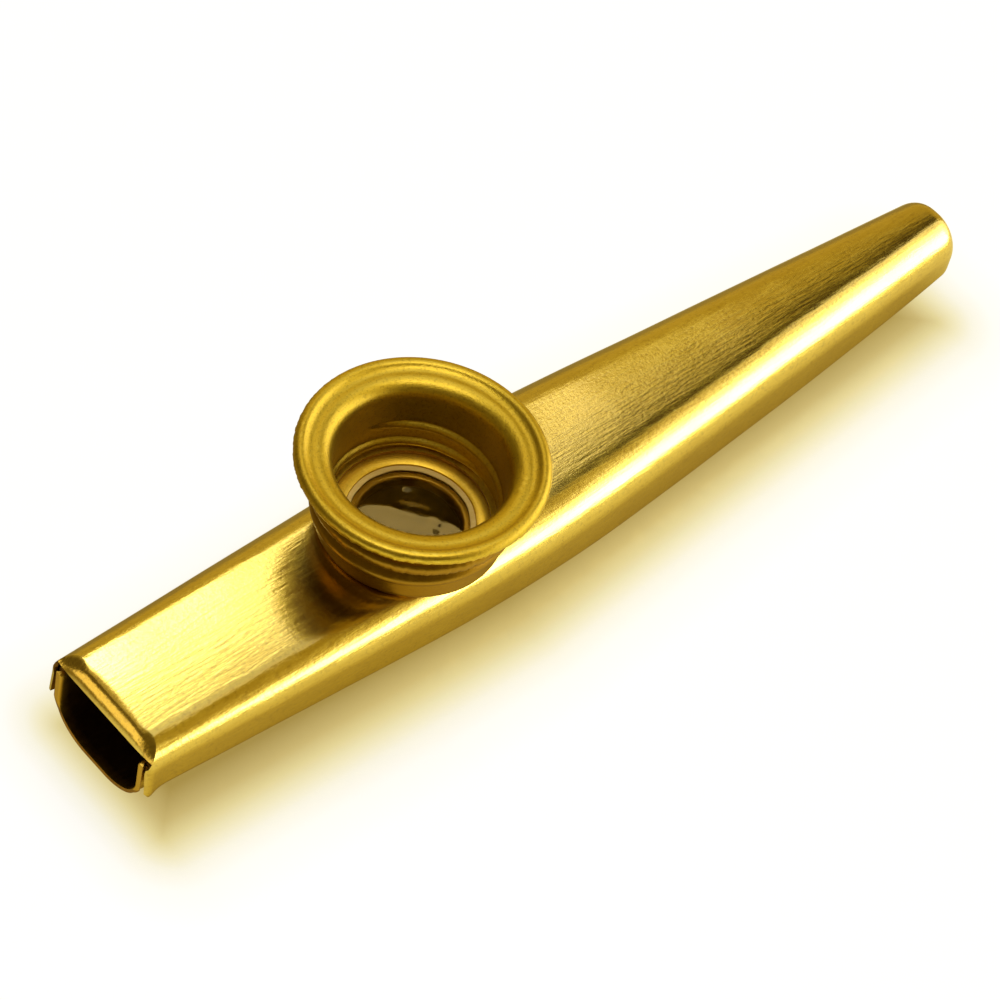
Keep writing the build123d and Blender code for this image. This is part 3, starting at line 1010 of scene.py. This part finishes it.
def make_film():
    """Two skins of rings and spokes, closed at the edge."""
    bm = bmesh.new()
    skins = []
    for level in FILM_Z:
        centre = bm.verts.new((TURRET_X * MM, 0, film_height(0, 0, level) * MM))
        circles = []
        for k in range(1, FILM_RINGS + 1):
            r = MEMBRANE_RADIUS * k / FILM_RINGS
            circle = []
            for i in range(FILM_SPOKES):
                a = 2 * math.pi * i / FILM_SPOKES
                x, y = r * math.cos(a), r * math.sin(a)
                circle.append(bm.verts.new(((TURRET_X + x) * MM, y * MM, film_height(x, y, level) * MM)))
            circles.append(circle)
        skins.append(circles)
        for i in range(FILM_SPOKES):
            n = (i + 1) % FILM_SPOKES
            bm.faces.new((centre, circles[0][i], circles[0][n]))
            for inner, outer in zip(circles, circles[1:]):
                bm.faces.new((inner[i], outer[i], outer[n], inner[n]))
    below, above = skins[0][-1], skins[1][-1]
    for i in range(FILM_SPOKES):
        n = (i + 1) % FILM_SPOKES
        bm.faces.new((below[i], below[n], above[n], above[i]))
    bmesh.ops.recalc_face_normals(bm, faces=bm.faces)
    new_object("membrane_film_disc", bm, "membrane", "clear_film", "membrane_film", film_material())


make_upper_shell()
make_lower_shell()
make_collar()
make_cap()
make_washer()
make_ring()
make_film()

# Floor: warm close to the body, with painted shade and a painted gold glow where gold light and shade fall on
# it, and white further out
FLOOR_HALF = 1.6
# Shape of the painted shade at the mouth end
MOUTH_FOOT_SHORTER = 3.0
MOUTH_FADE = 1.25
# Painted shade and painted gold glow that camera rays see, by distance from the body's outline
PAINTED_SHADE_RANGE = (-0.004, 0.012)
PAINTED_SHADE_STOPS = [
    (0.0, (0.32, 0.23, 0.06)),
    (0.19, (0.50, 0.40, 0.16)),
    (0.31, (0.66, 0.58, 0.29)),
    (0.44, (0.79, 0.74, 0.51)),
    (0.56, (0.86, 0.845, 0.74)),
    (0.72, (0.92, 0.915, 0.89)),
    (1.0, (0.96, 0.96, 0.96)),
]
# Painted shade in the floor as the metal mirrors it: dark close to the body and behind it
MIRRORED_SHADE_RANGE = (0.0, 0.04)
MIRRORED_SHADE_STOPS = [
    (0.0, (0.16, 0.09, 0.004)),
    (0.10, (0.36, 0.25, 0.03)),
    (0.2, (0.60, 0.47, 0.10)),
    (0.4, (0.90, 0.78, 0.30)),
    (1.0, (1.0, 0.94, 0.55)),
]
BEHIND_RANGE = (0.008, 0.024)
BEHIND_SHADE_COLOUR = (0.20, 0.14, 0.03)


def footprint_distance(tree):
    """How far a place on the floor is outside the outline of the body, fading faster ahead of the mouth."""
    place = axes(tree, object_coords(tree))
    x, y = place["X"], place["Y"]
    widest_x = (MOUTH_X + WIDEST_FROM_MOUTH) * MM
    front = remap(tree, x, MOUTH_X * MM, widest_x, MOUTH_WIDTH / 2 * MM, WIDEST_WIDTH / 2 * MM)
    rear = remap(tree, x, widest_x, -MOUTH_X * MM, WIDEST_WIDTH / 2 * MM, TAIL_WIDTH / 2 * MM)
    half = math_node(tree, "MINIMUM", front, rear)
    beside = math_node(tree, "SUBTRACT", math_node(tree, "ABSOLUTE", y), half)
    reach = remap(tree, x, -MM, MM, (-MOUTH_X - MOUTH_FOOT_SHORTER) * MM, -MOUTH_X * MM)
    beyond = math_node(tree, "SUBTRACT", math_node(tree, "ABSOLUTE", x), reach)
    inside = math_node(tree, "MINIMUM", math_node(tree, "MAXIMUM", beside, beyond), 0.0)
    across = math_node(tree, "POWER", math_node(tree, "MAXIMUM", beside, 0.0), 2.0)
    fade = remap(tree, x, -MM, MM, MOUTH_FADE, 1.0)
    faded = math_node(tree, "MULTIPLY", math_node(tree, "MAXIMUM", beyond, 0.0), fade)
    ahead = math_node(tree, "POWER", faded, 2.0)
    return math_node(tree, "ADD", inside, math_node(tree, "SQRT", math_node(tree, "ADD", across, ahead)))


def make_floor():
    bm = bmesh.new()
    bmesh.ops.create_grid(bm, x_segments=24, y_segments=24, size=FLOOR_HALF)
    mesh = bpy.data.meshes.new("floor")
    bm.to_mesh(mesh)
    bm.free()
    material, tree, bsdf = new_material("floor_white_painted_shade")
    grain = noise_of(tree, object_coords(tree), 500.0, 3.0, 0.5)
    link(tree, mix_colour(tree, grain, (0.27, 0.27, 0.265), (0.29, 0.29, 0.285)), bsdf.inputs["Base Color"])
    link(tree, remap(tree, grain, 0.3, 0.7, 0.32, 0.4), bsdf.inputs["Roughness"])
    path = tree.nodes.new("ShaderNodeLightPath").outputs
    seen = math_node(tree, "MAXIMUM", path["Is Camera Ray"], path["Is Glossy Ray"])
    seen = math_node(tree, "MAXIMUM", seen, path["Is Transmission Ray"])
    place = footprint_distance(tree)
    # Painted shade and painted gold glow seen by camera rays close to the body
    painted_shade_seen = colour_ramp(tree, remap(tree, place, *PAINTED_SHADE_RANGE, 0, 1), PAINTED_SHADE_STOPS)
    # Painted shade that glossy and transmission rays see, darker close to the body and behind it
    mirrored_shade = colour_ramp(tree, remap(tree, place, *MIRRORED_SHADE_RANGE, 0, 1), MIRRORED_SHADE_STOPS)
    behind = remap(tree, axes(tree, object_coords(tree))["Y"], *BEHIND_RANGE, 0, 1)
    mirrored_shade = mix_colour(tree, behind, mirrored_shade, BEHIND_SHADE_COLOUR)
    link(tree, mix_colour(tree, path["Is Camera Ray"], mirrored_shade, painted_shade_seen), bsdf.inputs["Emission Color"])
    link(tree, seen, bsdf.inputs["Emission Strength"])
    mesh.materials.append(material)
    obj = bpy.data.objects.new("floor", mesh)
    bpy.context.scene.collection.objects.link(obj)


make_floor()

# Lamps
WHITE = (1, 1, 1)
CREAM = (1, 0.92, 0.70)
AMBER = (1, 0.80, 0.42)
DOWN = (0, 0, -1)
TO_MOUTH = (-1, 0, 0)
TO_TAIL = (1, 0, 0)


def soft_box(name, place, facing, size, brightness, colour, only=None):
    """A rectangular studio light of a given brightness, for all or only for a collection."""
    light = bpy.data.lights.new(name, "AREA")
    light.shape = "RECTANGLE"
    light.size, light.size_y = size
    light.color = colour
    light.energy = brightness * math.pi * size[0] * size[1]
    obj = bpy.data.objects.new(name, light)
    bpy.context.scene.collection.objects.link(obj)
    obj.location = place
    obj.rotation_euler = Vector(facing).to_track_quat("-Z", "Y").to_euler()
    if only is not None:
        obj.light_linking.receiver_collection = only


soft_box("far_box", (0.180, 0.378, 0.520), DOWN, (0.38, 0.35), 1.8, WHITE, shells)
soft_box("far_soft", (0.155, 0.378, 0.520), DOWN, (0.31, 0.35), 0.6, CREAM, turret)
soft_box("far_film", (0.155, 0.378, 0.520), DOWN, (0.31, 0.35), 2.4, CREAM, membrane)
soft_box("far_glare", (0.145, 0.425, 0.515), DOWN, (0.15, 0.30), 8.0, WHITE, shells)
soft_box("top_fill", (0.14, 0.09, 0.60), DOWN, (0.34, 0.30), 1.0, WHITE)
soft_box("turret_fill", (-0.08, -0.05, 0.60), DOWN, (0.36, 0.36), 3.0, CREAM, turret)
soft_box("ring_fill", (-0.08, -0.05, 0.60), DOWN, (0.36, 0.36), 2.4, CREAM, membrane)
soft_box("side_panel", (0.50, -0.70, 0.33), TO_MOUTH, (1.46, 0.62), 1.5, WHITE, pieces)
soft_box("side_middle", (0.49, -0.72, 0.27), TO_MOUTH, (1.2, 0.44), 2.4, WHITE, shells)
soft_box("side_core", (0.48, -0.75, 0.23), TO_MOUTH, (1.0, 0.30), 5.6, WHITE, shells)
soft_box("crest_fill", (-0.13, 0.26, 0.60), DOWN, (0.40, 0.30), 0.45, AMBER, shells)
soft_box("mouth_panel", (-0.80, 0.35, 0.35), TO_TAIL, (0.50, 0.70), 1.6, AMBER, shells)

# World: a golden room with a dark card above the object, and dimmer towards the mouth
LOW_GLOW = (0.74, 0.54, 0.10)
HIGH_GLOW = (0.51, 0.37, 0.06)
DIM_GLOW = (0.15, 0.105, 0.025)
CARD_COLOUR = (0.05, 0.03, 0.003)
CARD_MIDDLE = 0.165
CARD_SIDES = (0.155, 0.225)
CARD_FOOT = (0.66, 0.56)


def make_world():
    world = bpy.data.worlds.new("studio")
    bpy.context.scene.world = world
    world.use_nodes = True
    sky = world.node_tree
    background = sky.nodes["Background"]
    direction = axes(sky, sky.nodes.new("ShaderNodeTexCoord").outputs["Generated"])
    glow = mix_colour(sky, remap(sky, direction["Z"], 0.0, 0.8, 0, 1), LOW_GLOW, HIGH_GLOW)
    from_card = math_node(sky, "ABSOLUTE", math_node(sky, "SUBTRACT", direction["Y"], CARD_MIDDLE))
    beside_card = remap(sky, from_card, *CARD_SIDES, 0, 1)
    below_card = remap(sky, direction["Z"], *CARD_FOOT, 0, 1)
    glow = mix_colour(sky, math_node(sky, "MAXIMUM", beside_card, below_card), CARD_COLOUR, glow)
    to_tail = remap(sky, direction["X"], -0.1, 0.3, 0, 1)
    link(sky, mix_colour(sky, to_tail, DIM_GLOW, glow), background.inputs["Color"])
    background.inputs["Strength"].default_value = 1.0


make_world()

# Camera at the photo's view
VIEW_AZIMUTH = math.radians(-52.162)
VIEW_ELEVATION = math.radians(50.639)
VIEW_ROLL = math.radians(13.975)
VIEW_DISTANCE = 384.882
VIEW_SHIFT = (-3.793, -7.798)
FOCAL_PIXELS = 3630.6
PICTURE_PIXELS = 1000.0
SENSOR = 36.0


def make_camera():
    data = bpy.data.cameras.new("camera")
    data.sensor_width = SENSOR
    data.lens = SENSOR * FOCAL_PIXELS / PICTURE_PIXELS
    data.clip_start = 0.01
    camera = bpy.data.objects.new("camera", data)
    bpy.context.scene.collection.objects.link(camera)
    back = Vector((math.sin(VIEW_AZIMUTH) * math.cos(VIEW_ELEVATION),
                   -math.cos(VIEW_AZIMUTH) * math.cos(VIEW_ELEVATION), math.sin(VIEW_ELEVATION)))
    right = Vector((math.cos(VIEW_AZIMUTH), math.sin(VIEW_AZIMUTH), 0))
    up = back.cross(right)
    place = Vector((0, 0, TOP)) + back * VIEW_DISTANCE + right * VIEW_SHIFT[0] + up * VIEW_SHIFT[1]
    rolled_right = math.cos(VIEW_ROLL) * right + math.sin(VIEW_ROLL) * up
    rolled_up = -math.sin(VIEW_ROLL) * right + math.cos(VIEW_ROLL) * up
    camera.matrix_world = Matrix((
        (rolled_right.x, rolled_up.x, back.x, place.x * MM),
        (rolled_right.y, rolled_up.y, back.y, place.y * MM),
        (rolled_right.z, rolled_up.z, back.z, place.z * MM),
        (0, 0, 0, 1),
    ))
    bpy.context.scene.camera = camera


make_camera()
bpy.context.scene.view_settings.view_transform = "Standard"
